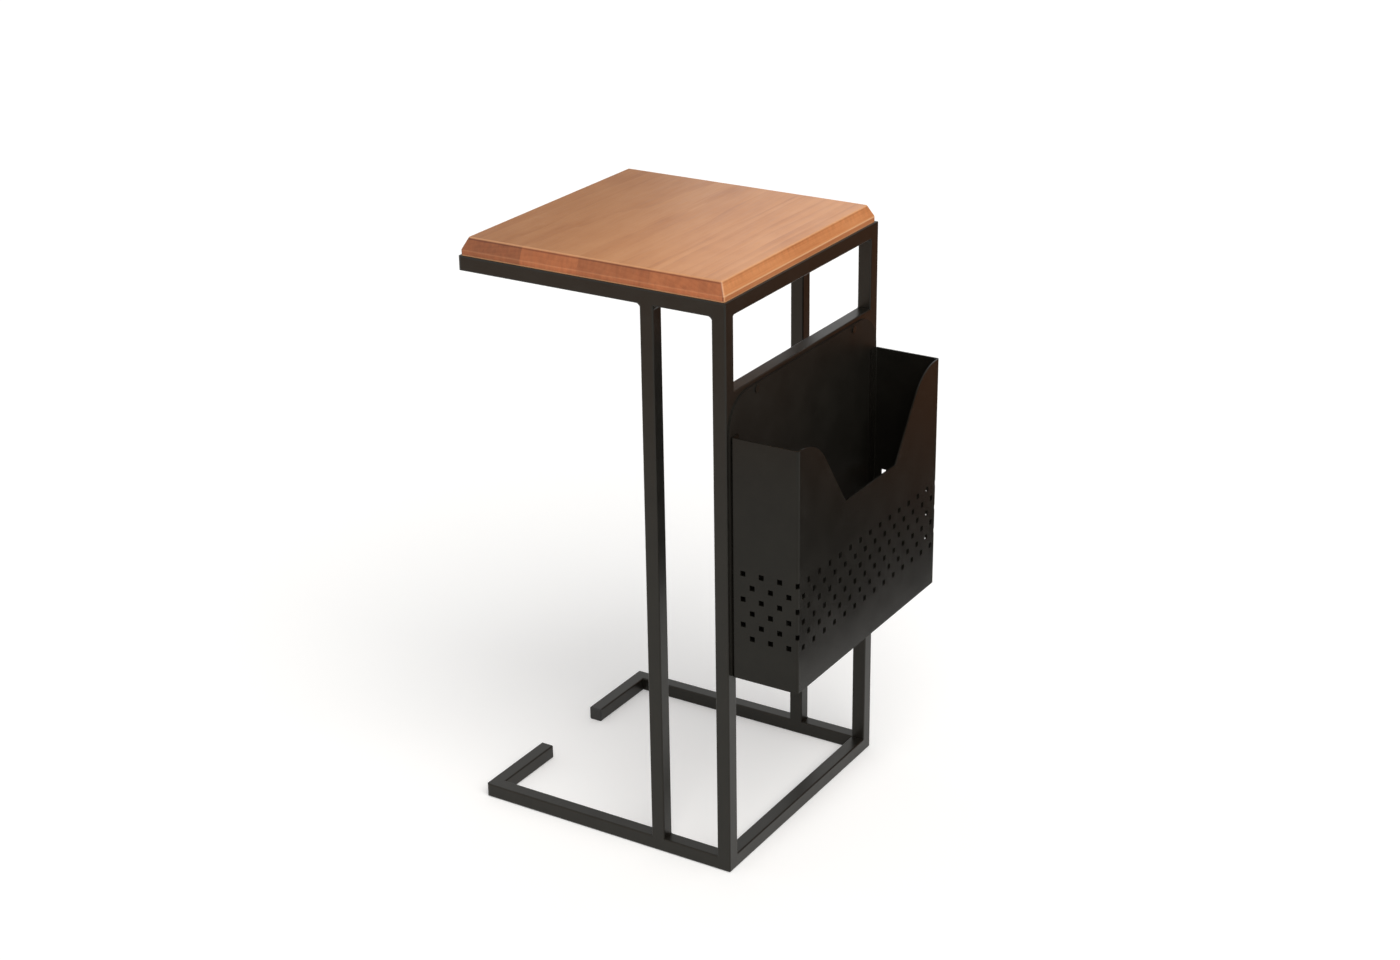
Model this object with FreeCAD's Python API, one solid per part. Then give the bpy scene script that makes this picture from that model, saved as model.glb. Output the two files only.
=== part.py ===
import FreeCAD
import Part
import math
import os

V = FreeCAD.Vector

# Welded frame of square steel tube
TUBE = 15.0
WALL = 1.5
EDGE_R = 1.5
LENGTH = 302.0
WIDTH = 300.0
FRAME_H = 600.0
POST_GAP = 63.0
RAIL_DROP = 89.0
TOE = 103.5
HEEL_R = 4.0
BEAD = 4.0

# Insert plugs that close the toes
PLUG_HEAD = 3.0
PLUG_SOFT = 1.0
PLUG_DEPTH = 12.0
PLUG_PLAY = 0.1

# Bevelled top of glued staves
TOP_T = 18.0
TOP_INSET = 2.5
TOP_LIP = 5.5
TOP_BEVEL = 6.0
TOP_SOFT = 2.5
STAVE_SHARES = (0.235, 0.22, 0.27, 0.18, 0.095)

# Wood screws that hold the top to the rails
WOOD_SCREW_R = 2.0
WOOD_HEAD_R = 4.0
WOOD_HEAD_H = 2.6
WOOD_BITE = 11.0
HOLE_PLAY = 0.2
ACCESS_R = 5.0

# Folded rack
SHEET = 1.5
BEND_R = 1.0
RACK_MARGIN = 5.0
RACK_D = 72.5
RACK_H = 249.0
RACK_Z = 219.5
FLANGE = 12.0
FLOOR_LIP = 12.0
FLOOR_RELIEF = 5.0
PLATE_MARGIN = 3.5
PLATE_DROP = 4.5
PLATE_R = 35.0
PLATE_FOOT_R = 3.0

# Swept notch of the rack's front wall
NOTCH_DEPTH = 83.0
NOTCH_HALF = 52.0
NOTCH_SLANT = math.radians(55.0)
NOTCH_R = 55.0

# Staggered square perforations that run round both folds
HOLE = 5.5
HOLE_ROWS = 6
HOLE_ROW_STEP = 13.4
HOLE_LOW = 46.0
SIDE_STEP = 10.0
SIDE_COLUMNS = 6
FRONT_STEPS = 28

# Screws and threaded inserts that hold the rack to its rail
RACK_SCREW_R = 2.0
RACK_HEAD_R = 3.6
RACK_HEAD_H = 1.2
RACK_SCREW_LEN = 9.0
RACK_SCREW_DROP = 5.0
INSERT_R = 3.2
INSERT_LEN = 10.0

# The origin is the middle of the whole footprint, on the floor
REACH = SHEET + RACK_D
RIGHT = (LENGTH - REACH) / 2
LEFT = RIGHT - LENGTH
HALF = WIDTH / 2
RACK_W = WIDTH - 2 * RACK_MARGIN
INNER = HALF - TUBE
POST_Z = (TUBE, FRAME_H - TUBE)
INNER_POST = RIGHT - 2 * TUBE - POST_GAP
RAIL_Z = (FRAME_H - RAIL_DROP - TUBE, FRAME_H - RAIL_DROP)
PLATE_TOP = RAIL_Z[1] - PLATE_DROP
RACK_X = RIGHT + SHEET
FOLD_R = BEND_R + SHEET


def block(x, y, z):
    """Box between three pairs of coordinates."""
    return Part.makeBox(x[1] - x[0], y[1] - y[0], z[1] - z[0], V(x[0], y[0], z[0]))


def along(shape, axis, keep=None):
    """Straight edges that run along an axis; keep tests an edge's middle."""
    found = []
    for edge in shape.Edges:
        ends = edge.Vertexes
        if len(ends) != 2:
            continue
        step = ends[1].Point - ends[0].Point
        middle = (ends[1].Point + ends[0].Point) * 0.5
        if abs(abs(step.dot(axis)) - edge.Length) > 1e-4:
            continue
        if keep is None or keep(middle):
            found.append(edge)
    return found


def rounded(x, y, z, axis, radius):
    """Box whose edges along one axis are rounded."""
    solid = block(x, y, z)
    return solid.makeFillet(radius, along(solid, axis))


def tube(x, y, z, axis, pads=()):
    """Square tube that fills a box; pads are weld metal ground flush over its rounded edges."""
    spans = []
    for span, part in zip((x, y, z), axis):
        inset = WALL * (1.0 - part)
        spans.append((span[0] + inset, span[1] - inset))
    solid = rounded(x, y, z, axis, EDGE_R)
    for pad in pads:
        solid = solid.fuse(pad)
    return solid.cut(block(*spans)).removeSplitter()


def rod(start, way, radius, length):
    """Round bar from a point along a direction."""
    return Part.makeCylinder(radius, length, start, way)


def hexagon(start, way, radius, length):
    """Six-sided bar from a point along an axis."""
    side = V(way.y, way.z, way.x)
    other = way.cross(side)
    corners = []
    for step in range(7):
        turn = math.pi / 3 * step
        corners.append(start + (side * math.cos(turn) + other * math.sin(turn)) * radius)
    return Part.Face(Part.makePolygon(corners)).extrude(way * length)


def prism(points, z):
    """Upright prism on a polygon in plan."""
    corners = [V(px, py, z[0]) for px, py in points]
    face = Part.Face(Part.makePolygon(corners + corners[:1]))
    return face.extrude(V(0, 0, z[1] - z[0]))


def ring_outline(z):
    """Outer envelope of a ring of rails, rounder at the open end's corners."""
    solid = block((LEFT, RIGHT), (-HALF, HALF), z)
    up = V(0, 0, 1)
    solid = solid.makeFillet(HEEL_R, along(solid, up, lambda m: abs(m.x - LEFT) < 0.01))
    return solid.makeFillet(EDGE_R, along(solid, up, lambda m: abs(m.x - RIGHT) < 0.01))


def mirrored(shape):
    """The same piece on the table's back side."""
    return shape.mirror(V(0, 0, 0), V(0, 1, 0))


def mitred(rail, side, z):
    """Cut a rail to its place in the ring: 45 degree mitres and rounded outer corners."""
    outer = {"a": (LEFT, -HALF), "b": (RIGHT, -HALF), "c": (RIGHT, HALF), "d": (LEFT, HALF)}
    inner = {"a": (LEFT + TUBE, -INNER), "b": (RIGHT - TUBE, -INNER),
             "c": (RIGHT - TUBE, INNER), "d": (LEFT + TUBE, INNER)}
    first, last = side
    plan = [outer[first], outer[last], inner[last], inner[first]]
    return rail.common(prism(plan, z)).common(ring_outline(z)).removeSplitter()


def post_spans():
    """Spans along X of the inner and the corner posts."""
    return [(INNER_POST, INNER_POST + TUBE), (RIGHT - TUBE, RIGHT)]


def ring(z, pad_z):
    """Front, right and left rails of a ring, with ground welds where posts meet them."""
    front_y = (-HALF, -INNER)
    pads = [block(span, front_y, pad_z) for span in post_spans()]
    front = tube((LEFT, RIGHT), front_y, z, V(1, 0, 0), pads)
    right_x = (RIGHT - TUBE, RIGHT)
    pads = [block(right_x, front_y, pad_z), block(right_x, (INNER, HALF), pad_z)]
    right = tube(right_x, (-HALF, HALF), z, V(0, 1, 0), pads)
    left = tube((LEFT, LEFT + TUBE), (-HALF, HALF), z, V(0, 1, 0))
    return mitred(front, "ab", z), mitred(right, "bc", z), mitred(left, "da", z)


def wood_screw_places():
    """Plan positions of the wood screws on the front rail."""
    y = -HALF + TUBE / 2
    return [(LEFT + 3 * TUBE, y), (RIGHT - TUBE - POST_GAP / 2, y)]


def wood_screw(x, y):
    """Six-sided screw head that bears on a rail's upper wall from inside, with a shank into the top."""
    up = V(0, 0, 1)
    seat = FRAME_H - WALL
    head = hexagon(V(x, y, seat - WOOD_HEAD_H), up, WOOD_HEAD_R, WOOD_HEAD_H)
    shank = rod(V(x, y, seat), up, WOOD_SCREW_R, WALL + WOOD_BITE)
    return head.fuse(shank).removeSplitter()


def screw_holes(x, y):
    """Access hole in a rail's lower wall and clearance hole in its upper wall."""
    up = V(0, 0, 1)
    access = rod(V(x, y, FRAME_H - TUBE), up, ACCESS_R, WALL)
    return access.fuse(rod(V(x, y, FRAME_H - WALL), up, WOOD_SCREW_R + HOLE_PLAY, WALL))


def bead(corner, way, across):
    """Slightly hollow fillet weld below a rail, beside a post: way leads out of the corner."""
    down = V(0, 0, -1)
    half = TUBE / 2 - EDGE_R
    start = corner - across * half
    tip = start + way * BEAD
    foot = start + down * BEAD
    middle = start + (way + down) * (0.37 * BEAD)
    edges = [Part.makeLine(start, tip), Part.Arc(tip, middle, foot).toShape(), Part.makeLine(foot, start)]
    return Part.Face(Part.Wire(edges)).extrude(across * (2 * half))


def front_beads():
    """Welds at the upper ends of the two front posts."""
    z = FRAME_H - TUBE
    y = -HALF + TUBE / 2
    ex, ey = V(1, 0, 0), V(0, 1, 0)
    beads = []
    for low, high in post_spans():
        beads.append(bead(V(low, y, z), -ex, ey))
        if high < RIGHT:
            beads.append(bead(V(high, y, z), ex, ey))
    beads.append(bead(V(RIGHT - TUBE / 2, -INNER, z), ey, ex))
    return beads


def toe_plug():
    """Ribless insert with a softened head that closes the front toe."""
    x = (LEFT, LEFT + TUBE)
    end = -HALF + TOE
    seat = end - PLUG_HEAD
    head = rounded(x, (seat, end), (0, TUBE), V(0, 1, 0), EDGE_R)
    rim = [e for e in head.Edges if abs(e.CenterOfMass.y - end) < 0.01]
    head = head.makeChamfer(PLUG_SOFT, rim)
    inset = WALL + PLUG_PLAY
    body = block((x[0] + inset, x[1] - inset), (seat - PLUG_DEPTH, seat), (inset, TUBE - inset))
    return head.fuse(body).removeSplitter()


def top_panel():
    """Bevelled panel with a low upright lip, hipped at the corners."""
    x = (LEFT + TOP_INSET, RIGHT - TOP_INSET)
    y = (-HALF + TOP_INSET, HALF - TOP_INSET)
    z = (FRAME_H, FRAME_H + TOP_LIP, FRAME_H + TOP_T)

    def section(span):
        return [(span[0], z[0]), (span[1], z[0]), (span[1], z[1]), (span[1] - TOP_BEVEL, z[2]),
                (span[0] + TOP_BEVEL, z[2]), (span[0], z[1])]

    lengthwise = [V(px, y[0], pz) for px, pz in section(x)]
    crosswise = [V(x[0], py, pz) for py, pz in section(y)]
    one = Part.Face(Part.makePolygon(lengthwise + lengthwise[:1])).extrude(V(0, y[1] - y[0], 0))
    two = Part.Face(Part.makePolygon(crosswise + crosswise[:1])).extrude(V(x[1] - x[0], 0, 0))
    panel = one.common(two).removeSplitter()
    soft = [e for e in panel.Edges if e.BoundBox.ZMax > z[1] - 0.01]
    return panel.makeFillet(TOP_SOFT, soft)


def staves():
    """The panel cut at its glue lines, with blind holes for the screws."""
    panel = top_panel()
    for x, y in wood_screw_places():
        for side in (y, -y):
            panel = panel.cut(rod(V(x, side, FRAME_H), V(0, 0, 1), WOOD_SCREW_R, WOOD_BITE))
    width = LENGTH - 2 * TOP_INSET
    start = LEFT + TOP_INSET
    pieces = []
    for share in STAVE_SHARES:
        stop = start + share * width / sum(STAVE_SHARES)
        pieces.append(panel.common(block((start, stop), (-HALF, HALF), (FRAME_H, FRAME_H + TOP_T))))
        start = stop
    return pieces


def rack_screw_places():
    """Centres of the rack's screws on the face of the rack rail."""
    z = PLATE_TOP - RACK_SCREW_DROP
    return [V(RIGHT, side * RACK_W / 3, z) for side in (-1, 1)]


def back_plate():
    """Flat sheet against the posts and the rail, with large rounded upper corners."""
    edge = HALF - PLATE_MARGIN
    plate = block((RIGHT, RACK_X), (-edge, edge), (RACK_Z, PLATE_TOP))
    ex = V(1, 0, 0)
    plate = plate.makeFillet(PLATE_R, along(plate, ex, lambda m: abs(m.z - PLATE_TOP) < 0.01))
    plate = plate.makeFillet(PLATE_FOOT_R, along(plate, ex, lambda m: abs(m.z - RACK_Z) < 0.01))
    for place in rack_screw_places():
        plate = plate.cut(rod(place, ex, RACK_SCREW_R + HOLE_PLAY, SHEET))
    return plate


def notch():
    """Tool for the front wall's notch: level foot, straight slants and wide rounded shoulders."""
    x = RACK_X + RACK_D - 2 * FOLD_R
    top = RACK_Z + RACK_H
    foot = top - NOTCH_DEPTH
    crest = NOTCH_HALF + NOTCH_DEPTH / math.tan(NOTCH_SLANT)
    reach = NOTCH_R * math.tan(NOTCH_SLANT / 2)
    low = (crest - reach * math.cos(NOTCH_SLANT), top - reach * math.sin(NOTCH_SLANT))
    high = (crest + reach, top)
    turn = NOTCH_SLANT / 2
    bow = (high[0] - NOTCH_R * math.sin(turn), top - NOTCH_R * (1 - math.cos(turn)))
    sides = []
    for s in (-1, 1):
        a, b, c, d = [V(x, s * p, q) for p, q in ((NOTCH_HALF, foot), low, bow, high)]
        sides += [Part.makeLine(a, b), Part.Arc(b, c, d).toShape()]
    lift = V(0, 0, SHEET)
    left, right = V(x, -high[0], top), V(x, high[0], top)
    sides += [Part.makeLine(V(x, -NOTCH_HALF, foot), V(x, NOTCH_HALF, foot)), Part.makeLine(left, left + lift),
              Part.makeLine(left + lift, right + lift), Part.makeLine(right + lift, right)]
    wire = Part.Wire(Part.__sortEdges__(sides))
    return Part.Face(wire).extrude(V(3 * FOLD_R, 0, 0))


def perforations():
    """Square punches: through both side walls, through the front and on the two folds."""
    half = HOLE / 2
    front = RACK_X + RACK_D
    wide = RACK_W / 2
    punches = []
    for column in range(-SIDE_COLUMNS, FRONT_STEPS):
        for row in range(HOLE_ROWS):
            if (row - column) % 2 == 0:
                continue
            z = RACK_Z + HOLE_LOW + row * HOLE_ROW_STEP
            span = (z - half, z + half)
            if column < 0:
                x = front + column * SIDE_STEP
                punches.append(block((x - half, x + half), (-wide - SHEET, wide + SHEET), span))
            elif column > 0:
                y = -wide + column * RACK_W / FRONT_STEPS
                punches.append(block((front - 2 * SHEET, front + SHEET), (y - half, y + half), span))
            else:
                punches += [fold_punch(front, s * wide, s, span) for s in (-1, 1)]
    return punches


def fold_punch(x, y, side, span):
    """Punch set square to a fold, so that the hole is equal on both walls."""
    half = HOLE / 2 * math.sqrt(0.5)
    punch = block((-2 * FOLD_R, FOLD_R), (-half, half), span)
    punch.rotate(V(0, 0, 0), V(0, 0, 1), 45.0 * side)
    punch.translate(V(x, y, 0))
    return punch


def basket():
    """One folded sheet: front, two sides and return flanges, notched and perforated."""
    wide = RACK_W / 2
    z = (RACK_Z, RACK_Z + RACK_H)
    up = V(0, 0, 1)
    outer = rounded((RACK_X, RACK_X + RACK_D), (-wide, wide), z, up, FOLD_R)
    inner = rounded((RACK_X + SHEET, RACK_X + RACK_D - SHEET), (-wide + SHEET, wide - SHEET), z, up, BEND_R)
    mouth = block((RACK_X, RACK_X + 2 * SHEET), (-wide + FLANGE, wide - FLANGE), z)
    sheet = outer.cut(inner).cut(mouth).cut(notch())
    return sheet.cut(Part.makeCompound(perforations()))


def rack_floor():
    """Pan with lips turned down, level with the walls' lower edge."""
    wide = RACK_W / 2 - SHEET
    x = (RACK_X + SHEET, RACK_X + RACK_D - SHEET)
    z = (RACK_Z, RACK_Z + FLOOR_LIP)
    outer = block(x, (-wide, wide), z)
    outer = outer.makeFillet(FOLD_R, [e for e in outer.Edges if e.BoundBox.ZMin > z[1] - 0.01])
    hollow = block((x[0] + SHEET, x[1] - SHEET), (-wide + SHEET, wide - SHEET), (z[0], z[1] - SHEET))
    hollow = hollow.makeFillet(BEND_R, [e for e in hollow.Edges if e.BoundBox.ZMin > z[1] - SHEET - 0.01])
    pan = outer.cut(hollow)
    for px in (x[0], x[1] - FLOOR_RELIEF):
        for py in (-wide, wide - FLOOR_RELIEF):
            pan = pan.cut(block((px, px + FLOOR_RELIEF), (py, py + FLOOR_RELIEF), z))
    return pan


def rack_screw(place):
    """Screw with a thin flat head that clamps the back plate to the rail."""
    ex = V(1, 0, 0)
    face = place + ex * SHEET
    head = rod(face, ex, RACK_HEAD_R, RACK_HEAD_H)
    shank = rod(place - ex * RACK_SCREW_LEN, ex, RACK_SCREW_R, RACK_SCREW_LEN + SHEET)
    return head.fuse(shank).removeSplitter()


def insert(place):
    """Six-sided threaded insert, set flush in the rail's wall."""
    into = V(-1, 0, 0)
    return hexagon(place, into, INSERT_R, INSERT_LEN).cut(rod(place, into, RACK_SCREW_R, INSERT_LEN))


def build():
    up, ey = V(0, 0, 1), V(0, 1, 0)
    parts = {}
    base_z, top_z = (0.0, TUBE), (FRAME_H - TUBE, FRAME_H)
    front, right, left = ring(base_z, (TUBE - EDGE_R, TUBE))
    toe = left.common(block((LEFT, LEFT + TUBE), (-HALF, -HALF + TOE - PLUG_HEAD), base_z))
    parts["base_front_rail"], parts["base_right_rail"] = front, right
    parts["base_front_toe"], parts["front_toe_plug"] = toe, toe_plug()
    front, right, left = ring(top_z, (FRAME_H - TUBE, FRAME_H - TUBE + EDGE_R))
    for x, y in wood_screw_places():
        front = front.cut(screw_holes(x, y))
    parts["top_front_rail"], parts["top_right_rail"], parts["top_left_rail"] = front, right, left

    front_y = (-HALF, -INNER)
    inner, corner = post_spans()
    pad = block(corner, (-INNER - EDGE_R, -INNER), RAIL_Z)
    parts["front_inner_post"] = tube(inner, front_y, POST_Z, up)
    parts["front_right_post"] = tube(corner, front_y, POST_Z, up, [pad])
    rail = tube(corner, (-INNER, INNER), RAIL_Z, ey)
    for place in rack_screw_places():
        rail = rail.cut(hexagon(place, V(-1, 0, 0), INSERT_R, WALL))
    parts["rack_rail"] = rail

    pairs = [("base_front_rail", "base_back_rail"), ("base_front_toe", "base_back_toe"),
             ("front_toe_plug", "back_toe_plug"), ("top_front_rail", "top_back_rail"),
             ("front_inner_post", "back_inner_post"), ("front_right_post", "back_right_post")]
    for near, far in pairs:
        parts[far] = mirrored(parts[near])
    beads = front_beads()
    parts["weld_beads"] = Part.makeCompound(beads + [mirrored(b) for b in beads])

    for number, stave in enumerate(staves(), 1):
        parts[f"top_stave_{number}"] = stave
    screws = [wood_screw(x, y) for x, y in wood_screw_places()]
    parts["top_screws"] = Part.makeCompound(screws + [mirrored(s) for s in screws])

    parts["rack_back_plate"] = back_plate()
    parts["rack_basket"] = basket()
    parts["rack_floor"] = rack_floor()
    parts["rack_screws"] = Part.makeCompound([rack_screw(p) for p in rack_screw_places()])
    parts["rack_rivet_nuts"] = Part.makeCompound([insert(p) for p in rack_screw_places()])
    return parts


os.makedirs("parts", exist_ok=True)
for node, shape in build().items():
    shape.exportStep(f"parts/{node}.step")
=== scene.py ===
import math

import bpy
from mathutils import Matrix, Vector


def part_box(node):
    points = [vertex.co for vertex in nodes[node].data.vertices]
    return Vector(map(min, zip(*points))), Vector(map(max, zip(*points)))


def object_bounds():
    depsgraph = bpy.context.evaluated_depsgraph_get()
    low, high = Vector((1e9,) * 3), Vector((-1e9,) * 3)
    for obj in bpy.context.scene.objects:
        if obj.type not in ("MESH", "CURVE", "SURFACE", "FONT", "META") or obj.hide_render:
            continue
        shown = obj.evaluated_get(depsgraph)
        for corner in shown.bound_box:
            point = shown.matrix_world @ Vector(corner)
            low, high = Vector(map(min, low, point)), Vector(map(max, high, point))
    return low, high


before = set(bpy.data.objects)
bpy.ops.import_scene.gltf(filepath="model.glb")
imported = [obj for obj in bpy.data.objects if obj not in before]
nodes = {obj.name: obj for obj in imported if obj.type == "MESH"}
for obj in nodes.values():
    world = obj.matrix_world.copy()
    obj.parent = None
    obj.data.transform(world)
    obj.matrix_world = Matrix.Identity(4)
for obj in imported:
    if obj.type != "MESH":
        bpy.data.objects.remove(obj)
cad_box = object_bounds()
staves = sorted(n for n in nodes if n.startswith("top_stave_"))
top_box = (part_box(staves[0])[0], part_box(staves[-1])[1])

# Camera, from the photograph's straight lines;
# its place is measured from the foot of the near corner on the rack's side
IMAGE_W = 1400
FOCAL_PX = 2353.33
SENSOR = 36.0
CAMERA_AWAY = Vector((1.045265, -1.731421, 1.279018))
CAMERA_YAW = math.radians(31.823)
CAMERA_DOWN = math.radians(22.822)
CAMERA_ROLL = math.radians(-0.8)

# Studio light; azimuth 0 is in front, 90 degrees on the rack's side
WHITE = (1.0, 1.0, 1.0)
BLACK = (0.0, 0.0, 0.0)
DOME = 0.45
SUN_POWER = 2.2
SUN_SPREAD = math.radians(50.0)
SUN_AZIMUTH = math.radians(55.0)
SUN_HEIGHT = math.radians(50.0)
SUN_COLOUR = (1.0, 0.98, 0.945)
FLOOR_SIDE = 60.0
FLOOR_DROP = 0.0004
FLOOR_COLOUR = (0.85, 0.85, 0.85)
FLOOR_LIFT = 0.23

# Cards round the table, seen only in reflections:
# dark beside the rack and behind the open end, tan in front
RACK_CARD_GAP = 0.248
RACK_CARD_SLANT = -0.12
RACK_CARD_SPAN = (0.12, 2.6)
RACK_CARD_RISE = (0.0, 1.1)
RACK_CARD_LOW = (0.022, 0.016, 0.011)
RACK_CARD_HIGH = (0.31, 0.11, 0.035)
RACK_CARD_TURN = (0.30, 0.62)
RACK_CARD_LEAN = 0.5
END_CARD_GAP = 0.61
END_CARD_SPAN = (0.56, 1.2)
END_CARD_RISE = (0.8, 2.0)
END_CARD_COLOUR = (0.03, 0.025, 0.02)
FRONT_CARD_GAP = 1.05
FRONT_CARD_SPAN = (-1.35, -0.3)
FRONT_CARD_RISE = (0.0, 0.45)
FRONT_CARD_COLOUR = (1.0, 0.6, 0.4)

# For all finishes: scales are per metre, depths in metres, a gloss is a range of roughness,
# and most values of a noise lie in its middle
NOISE_MIDDLE = (0.3, 0.7)

# Black powder coat
PAINT_COLOUR = (0.0095, 0.0085, 0.0068)
# Warm tint of the coat's reflections: a painted reflection colour
PAINT_REFLECTION_TINT = (1.0, 0.985, 0.90)
PAINT_SHADES = (0.75, 1.0, 1.3)
PAINT_STOPS = (0.3, 0.5, 0.72)
PEEL_SCALE = 620.0
GRIT_SCALE = 2600.0
MOTTLE_SCALE = 34.0
GRIT_SHARE = 0.4
GRIT_RELIEF = 0.25
PEEL_DEPTH = 0.00012
PEEL_STRENGTH = 0.05
FRAME_GLOSS, FRAME_IOR = (0.31, 0.36), 1.36
RACK_GLOSS, RACK_IOR = (0.22, 0.26), 1.28
PLATE_GLOSS = (0.46, 0.52)
SCREW_GLOSS, SCREW_IOR = (0.28, 0.36), 1.32

# Plastic plugs
PLASTIC_COLOUR = (0.012, 0.012, 0.011)
PLASTIC_SHADES = (0.7, 1.4)
PLASTIC_GLOSS = (0.5, 0.68)
SKIN_SCALE = 1500.0
BLOOM_SCALE = 90.0
SKIN_DEPTH = 0.0001
SKIN_STRENGTH = 0.4

# Plated fasteners
SCREW_ZINC, SCREW_ZINC_GLOSS = (0.62, 0.62, 0.60), (0.3, 0.5)
INSERT_ZINC, INSERT_ZINC_GLOSS = (0.55, 0.54, 0.50), (0.35, 0.55)
ZINC_SHADES = (0.75, 1.0)
PATCH_SCALE = 260.0
DRAWN_SCALE = 1900.0
DRAWN_DEPTH = 0.00006
DRAWN_STRENGTH = 0.3

# Wood: draw is how far a texture is drawn out along the grain, share its part in the tone
WOOD_DARK = (0.398, 0.146, 0.050)
WOOD_MID = (0.532, 0.233, 0.094)
WOOD_LIGHT = (0.618, 0.302, 0.138)
WOOD_STOPS = (0.25, 0.5, 0.75)
WOOD_GLOSS, WOOD_IOR = (0.33, 0.45), 1.47
RING_GAP, RING_DRAW, RING_SHARE = 0.0042, 0.12, 0.10
FIBRE_SCALE, FIBRE_DRAW, FIBRE_SHARE = 900.0, 0.03, 0.24
STREAK_SCALE, STREAK_DRAW, STREAK_SHARE = 130.0, 0.07, 0.26
CLOUD_SCALE, CLOUD_DRAW, CLOUD_SHARE = 22.0, 0.6, 0.40
PORE_SCALE, PORE_DRAW, PORE_SHARE = 1500.0, 0.07, 0.25
PORE_STEP = (0.66, 0.74)
FIBRE_RELIEF, PORE_RELIEF = 0.6, -0.5
GRAIN_DEPTH = 0.00012
GRAIN_STRENGTH = 0.3
STAVE_SHIFT = (0.031, 0.17)
STAVE_LEAN = 0.02
PITH_DEPTH, PITH_SWAY = 0.062, 0.013

# Tone of the bevels and of the upright lip below them: staining, with painted light across the top and
# on the ends' lip; edges run along the grain, ends across it;
# steps are between values of a face's normal
# Painted light: the top darker at the end away from the rack, lighter towards the rack's side, as the
# light falls across it
TOP_PAINTED_LIGHT_FALL = (0.74, 1.17)
EDGE_STAIN = (0.958, 0.858, 0.775)
# The sides' upright lip darker and redder than the bevel above it
EDGE_LIP_TONE = (0.86, 0.78, 0.75)
END_STAIN = (0.586, 0.399, 0.310)
# Painted light: the ends' upright lip lighter than the bevel above it
END_LIP_PAINTED_LIGHT = (1.3, 1.27, 1.3)
END_SHADES = (0.90, 1.22, 1.0, 1.09, 1.08)
SAW_SCALE, SAW_DRAW = 230.0, 0.12
SAW_SHADES = (0.91, 1.08)
TOP_STEP = (0.5, 0.85)
END_STEP = (0.45, 0.85)
LIP_STEP = (0.93, 0.98)

# Wear, painted shade and painted highlights at the arrises: heights and lines are in metres above the
# top's underside;
# hips are the sloping arrises at the corners, with painted shade on the front's half and a painted
# highlight on the side's; the line under the upper arris is painted shade, and the foot and the lip's
# crease get painted highlights
# Light colour of the wear on the upper arris and of the painted highlights
WOOD_WEAR_AND_HIGHLIGHT = (0.66, 0.36, 0.18)
# Colour of the painted shade under the upper arris and on the hips' front half
ARRIS_PAINTED_SHADE = (0.54, 0.45, 0.39)
LIP_HEIGHT, LIP_LINE = 0.0055, (0.0010, 0.0004)
ARRIS_HEIGHT, ARRIS_LINE = 0.0161, (0.0009, 0.0003)
FOOT_LINE = (0.0014, 0.0006)
LIP_STEP_ROUND, LIP_HIGHLIGHT = (0.2, 0.9), (0.12, 0.9)
ARRIS_STEP_ROUND, ARRIS_DARK = (0.2, 0.8), (0.35, 0.8)
UNDERSIDE_STEP, FOOT_HIGHLIGHT = (-0.9, -0.5), (0.35, 0.65)
ARRIS_FROM, ARRIS_TO, ARRIS_WEAR_AND_HIGHLIGHT = (0.48, 0.62), (0.995, 0.93), 0.42
HIP_STEP = (0.06, 0.3)
HIP_DARK_STEP, HIP_LIT_STEP = (0.0, -0.3), (-0.1, 0.2)


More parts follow.
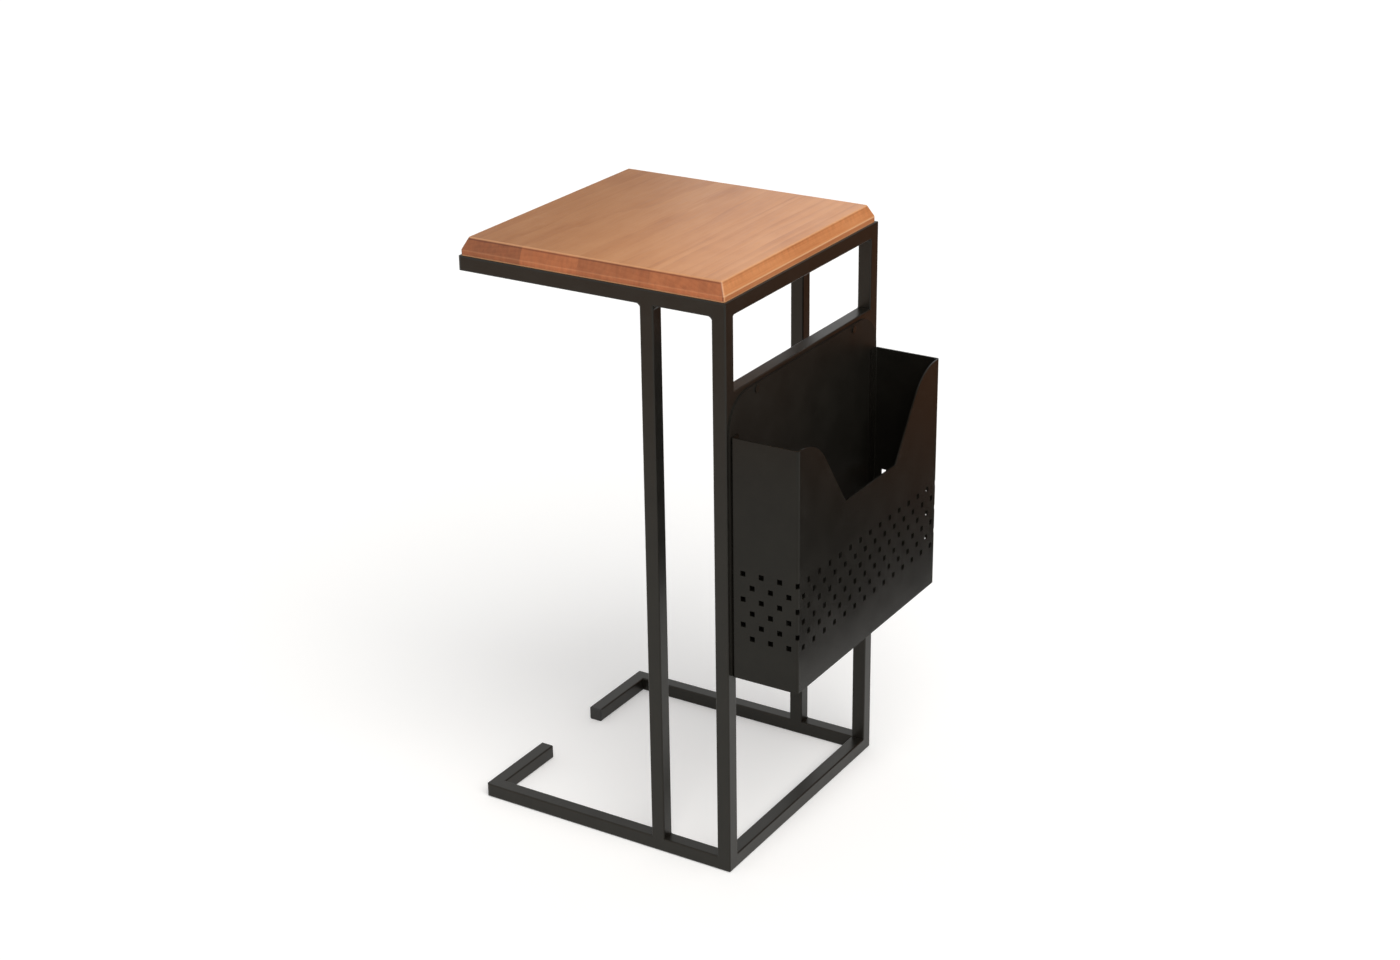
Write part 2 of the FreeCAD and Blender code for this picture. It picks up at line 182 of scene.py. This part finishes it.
class Surface:
    """Node tree of one procedural material round a Principled shader."""

    def __init__(self, name):
        self.material = bpy.data.materials.new(name)
        self.material.use_nodes = True
        self.tree = self.material.node_tree
        self.shader = self.tree.nodes["Principled BSDF"]

    def add(self, kind, **settings):
        node = self.tree.nodes.new("ShaderNode" + kind)
        for key, value in settings.items():
            setattr(node, key, value)
        return node

    def feed(self, socket, value):
        """Links an output to a socket, or sets the socket's own value."""
        if hasattr(value, "is_output"):
            self.tree.links.new(value, socket)
        else:
            socket.default_value = value

    def math(self, operation, a, b=0.0):
        node = self.add("Math", operation=operation)
        self.feed(node.inputs[0], a)
        self.feed(node.inputs[1], b)
        return node.outputs[0]

    def times(self, a, b):
        return self.math("MULTIPLY", a, b)

    def plus(self, a, b):
        return self.math("ADD", a, b)

    def most(self, a, b):
        return self.math("MAXIMUM", a, b)

    def away(self, value, middle):
        """Distance from a middle value."""
        return self.math("ABSOLUTE", self.math("SUBTRACT", value, middle))

    def place(self, shift=(0, 0, 0), turn=(0, 0, 0)):
        """Position in the part's frame, shifted and turned."""
        node = self.add("Mapping", vector_type="POINT")
        self.feed(node.inputs["Vector"], self.add("TexCoord").outputs["Object"])
        self.feed(node.inputs["Location"], shift)
        self.feed(node.inputs["Rotation"], turn)
        return node.outputs[0]

    def stretch(self, vector, scale):
        node = self.add("Mapping", vector_type="POINT")
        self.feed(node.inputs["Vector"], vector)
        self.feed(node.inputs["Scale"], scale)
        return node.outputs[0]

    def split(self, vector):
        """Outputs X, Y and Z of a vector."""
        node = self.add("SeparateXYZ")
        self.feed(node.inputs[0], vector)
        return node.outputs

    def spot(self):
        """X, Y and Z in the part's frame."""
        return self.split(self.add("TexCoord").outputs["Object"])

    def noise(self, vector, scale, detail=2.0, rough=0.5):
        node = self.add("TexNoise")
        self.feed(node.inputs["Vector"], vector)
        self.feed(node.inputs["Scale"], scale)
        self.feed(node.inputs["Detail"], detail)
        self.feed(node.inputs["Roughness"], rough)
        return node.outputs["Fac"]

    def grain(self, vector, scale, draw, detail, rough=0.5):
        """Noise drawn out along Y."""
        return self.noise(self.stretch(vector, (1.0, draw, 1.0)), scale, detail, rough)

    def span(self, value, low, high, to_low=0.0, to_high=1.0):
        """Smooth step between two levels."""
        node = self.add("MapRange", interpolation_type="SMOOTHSTEP")
        for socket, number in zip(node.inputs, (value, low, high, to_low, to_high)):
            self.feed(socket, number)
        return node.outputs[0]

    def ramp(self, value, positions, colours):
        node = self.add("ValToRGB")
        band = node.color_ramp.elements
        while len(band) < len(positions):
            band.new(0.5)
        for element, position, colour in zip(band, positions, colours):
            element.position = position
            element.color = (*colour, 1.0)
        self.feed(node.inputs[0], value)
        return node.outputs[0]

    def mix(self, share, a, b, blend="MIX"):
        node = self.add("Mix", data_type="RGBA", blend_type=blend)
        self.feed(node.inputs["Factor"], share)
        for socket, value in ((node.inputs[6], a), (node.inputs[7], b)):
            self.feed(socket, value if hasattr(value, "is_output") else (*value, 1.0))
        return node.outputs[2]

    def colour_times(self, colour, by, share=1.0):
        """A colour times another."""
        return self.mix(share, colour, by, blend="MULTIPLY")

    def grey(self, value):
        """The same value in all three colour channels."""
        node = self.add("CombineColor")
        for socket in node.inputs:
            self.feed(socket, value)
        return node.outputs[0]

    def bump(self, height, depth, strength):
        node = self.add("Bump")
        self.feed(node.inputs["Height"], height)
        self.feed(node.inputs["Distance"], depth)
        self.feed(node.inputs["Strength"], strength)
        self.feed(self.shader.inputs["Normal"], node.outputs[0])

    def set(self, **values):
        """Sets or links the shader's own sockets."""
        for key, value in values.items():
            socket = self.shader.inputs[key.replace("_", " ")]
            if isinstance(value, tuple):
                value = (*value, 1.0)
            self.feed(socket, value)


def shaded(colour, factor):
    """A colour made darker or lighter."""
    return tuple(c * factor for c in colour)


def shades(colour, factors):
    """Darker and lighter versions of a colour."""
    return [shaded(colour, factor) for factor in factors]


def powder_coat(name, gloss, ior):
    """Satin black powder coat: orange peel, faint mottling and uneven gloss, with a warm painted tint
    on its reflections.
    """
    s = Surface(name)
    here = s.place()
    peel = s.noise(here, PEEL_SCALE, detail=2.0, rough=0.45)
    grit = s.noise(here, GRIT_SCALE, detail=2.0, rough=0.6)
    mottle = s.noise(here, MOTTLE_SCALE, detail=4.0, rough=0.55)
    tone = s.plus(s.times(mottle, 1.0 - GRIT_SHARE), s.times(grit, GRIT_SHARE))
    s.set(Base_Color=s.ramp(tone, PAINT_STOPS, shades(PAINT_COLOUR, PAINT_SHADES)))
    s.set(Roughness=s.span(mottle, *NOISE_MIDDLE, *gloss))
    # Painted reflection colour: a warm tint on the coat's reflections
    s.set(IOR=ior, Specular_Tint=PAINT_REFLECTION_TINT)
    s.bump(s.plus(peel, s.times(grit, GRIT_RELIEF)), PEEL_DEPTH, PEEL_STRENGTH)
    return s.material


def moulded_plastic(name):
    """Matt black moulded plastic with a spark-eroded skin."""
    s = Surface(name)
    here = s.place()
    skin = s.noise(here, SKIN_SCALE, detail=3.0, rough=0.6)
    bloom = s.noise(here, BLOOM_SCALE)
    s.set(Base_Color=s.ramp(bloom, NOISE_MIDDLE, shades(PLASTIC_COLOUR, PLASTIC_SHADES)))
    s.set(Roughness=s.span(skin, *NOISE_MIDDLE, *PLASTIC_GLOSS))
    s.bump(skin, SKIN_DEPTH, SKIN_STRENGTH)
    return s.material


def plated(name, colour, gloss):
    """Plated fastener with drawn marks and dull patches."""
    s = Surface(name)
    here = s.place()
    patch = s.noise(here, PATCH_SCALE, detail=4.0, rough=0.6)
    s.set(Base_Color=s.ramp(patch, NOISE_MIDDLE, shades(colour, ZINC_SHADES)))
    s.set(Roughness=s.span(patch, *NOISE_MIDDLE, *gloss))
    s.set(Metallic=1.0)
    s.bump(s.noise(here, DRAWN_SCALE), DRAWN_DEPTH, DRAWN_STRENGTH)
    return s.material


def growth_rings(s, here):
    """Rings round a pith that lies along Y."""
    rings = s.add("TexWave", wave_type="RINGS", rings_direction="Y", wave_profile="SAW")
    s.feed(rings.inputs["Vector"], s.stretch(here, (1.0, RING_DRAW, 1.0)))
    s.feed(rings.inputs["Scale"], math.pi / 10 / RING_GAP)
    s.feed(rings.inputs["Distortion"], 5.0)
    s.feed(rings.inputs["Detail"], 2.0)
    s.feed(rings.inputs["Detail Scale"], 0.35)
    return rings.outputs["Fac"]


class Top:
    """Where a point of the wooden top is, and which way its face looks."""

    def __init__(self, s):
        normal = s.split(s.add("NewGeometry").outputs["Normal"])
        self.across = s.math("ABSOLUTE", normal["X"])
        self.endwise = s.math("ABSOLUTE", normal["Y"])
        self.level = normal["Z"]
        spot = s.spot()
        self.height = s.math("SUBTRACT", spot["Z"], top_box[0].z)
        # Painted light falling across the top, lighter towards the rack's side
        self.fade = s.span(spot["X"], top_box[0].x, top_box[1].x, *TOP_PAINTED_LIGHT_FALL)


def stain_and_painted_light(s, top, here, colour, end_shade):
    """Tone of the flat face, the bevels and the upright lip: staining and saw marks, with painted
    light that makes the top lighter towards the rack's side and the ends' lip lighter.
    """
    slope = s.span(top.level, *reversed(TOP_STEP))
    # Painted light: the top lighter towards the rack's side, at half strength on the bevels and the
    # lip
    colour = s.colour_times(colour, s.grey(top.fade), s.span(top.level, *TOP_STEP, 0.5, 1.0))
    saw = s.noise(s.stretch(here, (1.0, 1.0, SAW_DRAW)), SAW_SCALE, detail=3.0)
    marks = s.grey(s.span(saw, *NOISE_MIDDLE, *SAW_SHADES))
    edge = s.colour_times(colour, marks, s.span(top.height, LIP_HEIGHT, ARRIS_HEIGHT))
    edge = s.colour_times(edge, EDGE_STAIN)
    end = s.colour_times(s.colour_times(colour, marks), shaded(END_STAIN, end_shade))
    colour = s.mix(slope, colour, edge)
    # The sides' upright lip made darker and redder
    colour = s.mix(s.span(top.across, *LIP_STEP), colour, s.colour_times(edge, EDGE_LIP_TONE))
    colour = s.mix(s.span(top.endwise, *END_STEP), colour, end)
    # Painted light: the ends' upright lip made lighter
    return s.mix(s.span(top.endwise, *LIP_STEP), colour, s.colour_times(end, END_LIP_PAINTED_LIGHT))


def arris_wear_and_painted_light(s, top, colour):
    """Painted shade at the upper arris and the hips, light wear on the upper arris, and painted
    highlights on the hips, the foot and the lip's crease.
    """
    hip = s.span(s.times(top.across, top.endwise), *HIP_STEP)
    side = s.math("SUBTRACT", top.across, top.endwise)
    # Painted shade: a dark line under the upper arris on the ends, and the front half of each hip
    under = s.times(s.span(s.away(top.height, ARRIS_HEIGHT), *ARRIS_LINE),
                    s.span(top.endwise, *ARRIS_STEP_ROUND, *ARRIS_DARK))
    dark = s.most(under, s.times(hip, s.span(side, *HIP_DARK_STEP)))
    colour = s.colour_times(colour, ARRIS_PAINTED_SHADE, dark)

    # Wear on the upper arris, and a painted highlight on the side half of each hip
    arris = s.times(s.span(top.level, *ARRIS_FROM), s.span(top.level, *ARRIS_TO))
    arris = s.most(arris, s.times(hip, s.span(side, *HIP_LIT_STEP)))
    # Painted highlight along the bottom edge
    foot = s.times(s.span(top.height, *FOOT_LINE), s.span(top.level, *UNDERSIDE_STEP, *FOOT_HIGHLIGHT))
    # Painted highlight along the crease between bevel and lip on the sides
    crease = s.times(s.span(s.away(top.height, LIP_HEIGHT), *LIP_LINE),
                     s.span(top.across, *LIP_STEP_ROUND, *LIP_HIGHLIGHT))
    light = s.most(s.most(s.times(arris, ARRIS_WEAR_AND_HIGHLIGHT), foot), crease)
    return s.mix(light, colour, WOOD_WEAR_AND_HIGHLIGHT)


def wood(name, seed, lean, end_shade):
    """One stave: rings, fibres, streaks and pores along Y, under staining, wear and painted light."""
    s = Surface(name)
    pith = PITH_DEPTH + PITH_SWAY * math.sin(2.3 * seed)
    here = s.place((*shaded(STAVE_SHIFT, seed), pith), (lean * 0.4, 0, lean))
    fibre = s.grain(here, FIBRE_SCALE, FIBRE_DRAW, detail=4.0, rough=0.6)
    streak = s.grain(here, STREAK_SCALE, STREAK_DRAW, detail=3.0, rough=0.55)
    cloud = s.grain(here, CLOUD_SCALE, CLOUD_DRAW, detail=4.0, rough=0.6)
    pit = s.span(s.grain(here, PORE_SCALE, PORE_DRAW, detail=1.0), *PORE_STEP)
    tone = s.times(growth_rings(s, here), RING_SHARE)
    for part, share in ((fibre, FIBRE_SHARE), (streak, STREAK_SHARE), (cloud, CLOUD_SHARE)):
        tone = s.plus(tone, s.times(part, share))
    colour = s.ramp(tone, WOOD_STOPS, (WOOD_DARK, WOOD_MID, WOOD_LIGHT))
    colour = s.mix(s.times(pit, PORE_SHARE), colour, WOOD_DARK)
    top = Top(s)
    s.set(Base_Color=arris_wear_and_painted_light(s, top, stain_and_painted_light(s, top, here, colour, end_shade)))
    s.set(Roughness=s.span(fibre, *NOISE_MIDDLE, *WOOD_GLOSS))
    s.set(IOR=WOOD_IOR)
    relief = s.plus(s.times(fibre, FIBRE_RELIEF), s.times(pit, PORE_RELIEF))
    s.bump(relief, GRAIN_DEPTH, GRAIN_STRENGTH)
    return s.material


def dress(material, *names):
    """Gives CAD nodes a material."""
    for name in names:
        slots = nodes[name].data.materials
        slots.clear()
        slots.append(material)


def linked(name, data):
    """New object in the scene."""
    item = bpy.data.objects.new(name, data)
    bpy.context.scene.collection.objects.link(item)
    return item


def quad(name, corners):
    """New plane with four corners."""
    mesh = bpy.data.meshes.new(name)
    mesh.from_pydata(corners, [], [(0, 1, 2, 3)])
    return linked(name, mesh)


def seen(tree):
    """1 for rays that should show the white background: camera, reflection and transmission."""
    path = tree.nodes.new("ShaderNodeLightPath")
    total = path.outputs["Is Camera Ray"]
    for name in ("Is Glossy Ray", "Is Transmission Ray"):
        either = tree.nodes.new("ShaderNodeMath")
        either.operation = "MAXIMUM"
        tree.links.new(total, either.inputs[0])
        tree.links.new(path.outputs[name], either.inputs[1])
        total = either.outputs[0]
    return total


def white_world():
    """Soft dome for the object, plain white where it is seen."""
    world = bpy.data.worlds.new("studio")
    bpy.context.scene.world = world
    world.use_nodes = True
    tree = world.node_tree
    dome = tree.nodes["Background"]
    dome.inputs["Strength"].default_value = DOME
    white = tree.nodes.new("ShaderNodeBackground")
    for background in (dome, white):
        background.inputs["Color"].default_value = (*WHITE, 1.0)
    either = tree.nodes.new("ShaderNodeMixShader")
    tree.links.new(seen(tree), either.inputs[0])
    tree.links.new(dome.outputs[0], either.inputs[1])
    tree.links.new(white.outputs[0], either.inputs[2])
    tree.links.new(either.outputs[0], tree.nodes["World Output"].inputs["Surface"])


def pale_floor():
    """Wide pale floor that takes the shadow and is see-through from below."""
    half = FLOOR_SIDE / 2
    corners = [(-half, -half, 0.0), (half, -half, 0.0), (half, half, 0.0), (-half, half, 0.0)]
    floor = quad("floor", corners)
    floor.location.z = -FLOOR_DROP
    s = Surface("pale_floor")
    s.set(Base_Color=FLOOR_COLOUR, Roughness=1.0, Specular_IOR_Level=0.0)
    s.set(Emission_Color=WHITE, Emission_Strength=s.times(seen(s.tree), FLOOR_LIFT))
    under = s.add("MixShader")
    s.feed(under.inputs[0], s.add("NewGeometry").outputs["Backfacing"])
    s.feed(under.inputs[1], s.shader.outputs[0])
    s.feed(under.inputs[2], s.add("BsdfTransparent").outputs[0])
    s.feed(s.tree.nodes["Material Output"].inputs["Surface"], under.outputs[0])
    floor.data.materials.append(s.material)


def soft_sun():
    """Broad, even light from above, in front of the rack's side."""
    data = bpy.data.lights.new("sun", "SUN")
    data.energy = SUN_POWER
    data.angle = SUN_SPREAD
    data.color = SUN_COLOUR
    lamp = linked("sun", data)
    level = math.cos(SUN_HEIGHT)
    way = Vector((math.sin(SUN_AZIMUTH) * level, -math.cos(SUN_AZIMUTH) * level, math.sin(SUN_HEIGHT)))
    lamp.rotation_mode = "QUATERNION"
    lamp.rotation_quaternion = way.to_track_quat("Z", "Y")


def card(name, start, end, rise, colour):
    """Upright plane that only reflections show, as bright as its colour is written."""
    low, high = rise
    plane = quad(name, [(*start, low), (*end, low), (*end, high), (*start, high)])
    for ray in ("camera", "diffuse", "transmission", "shadow"):
        setattr(plane, "visible_" + ray, False)
    s = Surface(name)
    s.set(Base_Color=BLACK, Specular_IOR_Level=0.0)
    s.set(Emission_Color=colour, Emission_Strength=1.0)
    plane.data.materials.append(s.material)
    return s


def cards():
    """The room that the photograph's gloss shows."""
    low, high = cad_box
    near, far = ((high.x + RACK_CARD_GAP + RACK_CARD_SLANT * y, y) for y in RACK_CARD_SPAN)
    s = card("rack_card", near, far, RACK_CARD_RISE, RACK_CARD_LOW)
    spot = s.spot()
    climb = s.plus(spot["Z"], s.times(spot["Y"], RACK_CARD_LEAN))
    s.set(Emission_Color=s.mix(s.span(climb, *RACK_CARD_TURN), RACK_CARD_LOW, RACK_CARD_HIGH))
    near, far = ((low.x - END_CARD_GAP, y) for y in END_CARD_SPAN)
    card("end_card", near, far, END_CARD_RISE, END_CARD_COLOUR)
    near, far = ((x, low.y - FRONT_CARD_GAP) for x in FRONT_CARD_SPAN)
    card("front_card", near, far, FRONT_CARD_RISE, FRONT_CARD_COLOUR)


def photo_camera():
    """Camera at the photograph's place."""
    data = bpy.data.cameras.new("camera")
    data.sensor_width = SENSOR
    data.lens = FOCAL_PX * SENSOR / IMAGE_W
    camera = linked("camera", data)
    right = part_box("base_right_rail")[1].x
    place = Vector((right, cad_box[0].y, cad_box[0].z)) + CAMERA_AWAY
    turn = Matrix.Rotation(CAMERA_YAW, 4, "Z") @ Matrix.Rotation(math.pi / 2 - CAMERA_DOWN, 4, "X")
    camera.matrix_world = Matrix.Translation(place) @ turn @ Matrix.Rotation(CAMERA_ROLL, 4, "Z")
    bpy.context.scene.camera = camera


frame_nodes = [n for n in nodes if n.startswith(("base_", "top_")) and n.endswith(("_rail", "_toe"))]
frame_nodes += [n for n in nodes if n.endswith("_post")] + ["rack_rail", "weld_beads"]
dress(powder_coat("frame_paint", FRAME_GLOSS, FRAME_IOR), *frame_nodes)
dress(powder_coat("rack_paint", RACK_GLOSS, RACK_IOR), "rack_basket", "rack_floor")
dress(powder_coat("plate_paint", PLATE_GLOSS, RACK_IOR), "rack_back_plate")
dress(moulded_plastic("plug_plastic"), "front_toe_plug", "back_toe_plug")
dress(powder_coat("screw_black", SCREW_GLOSS, SCREW_IOR), "rack_screws")
dress(plated("screw_zinc", SCREW_ZINC, SCREW_ZINC_GLOSS), "top_screws")
dress(plated("insert_zinc", INSERT_ZINC, INSERT_ZINC_GLOSS), "rack_rivet_nuts")
for count, (stave, end_shade) in enumerate(zip(staves, END_SHADES)):
    lean = STAVE_LEAN * math.sin(1.7 * count + 0.6)
    dress(wood(stave.replace("top_", ""), count + 1, lean, end_shade), stave)

white_world()
pale_floor()
soft_sun()
cards()
photo_camera()
bpy.context.scene.view_settings.view_transform = "Standard"
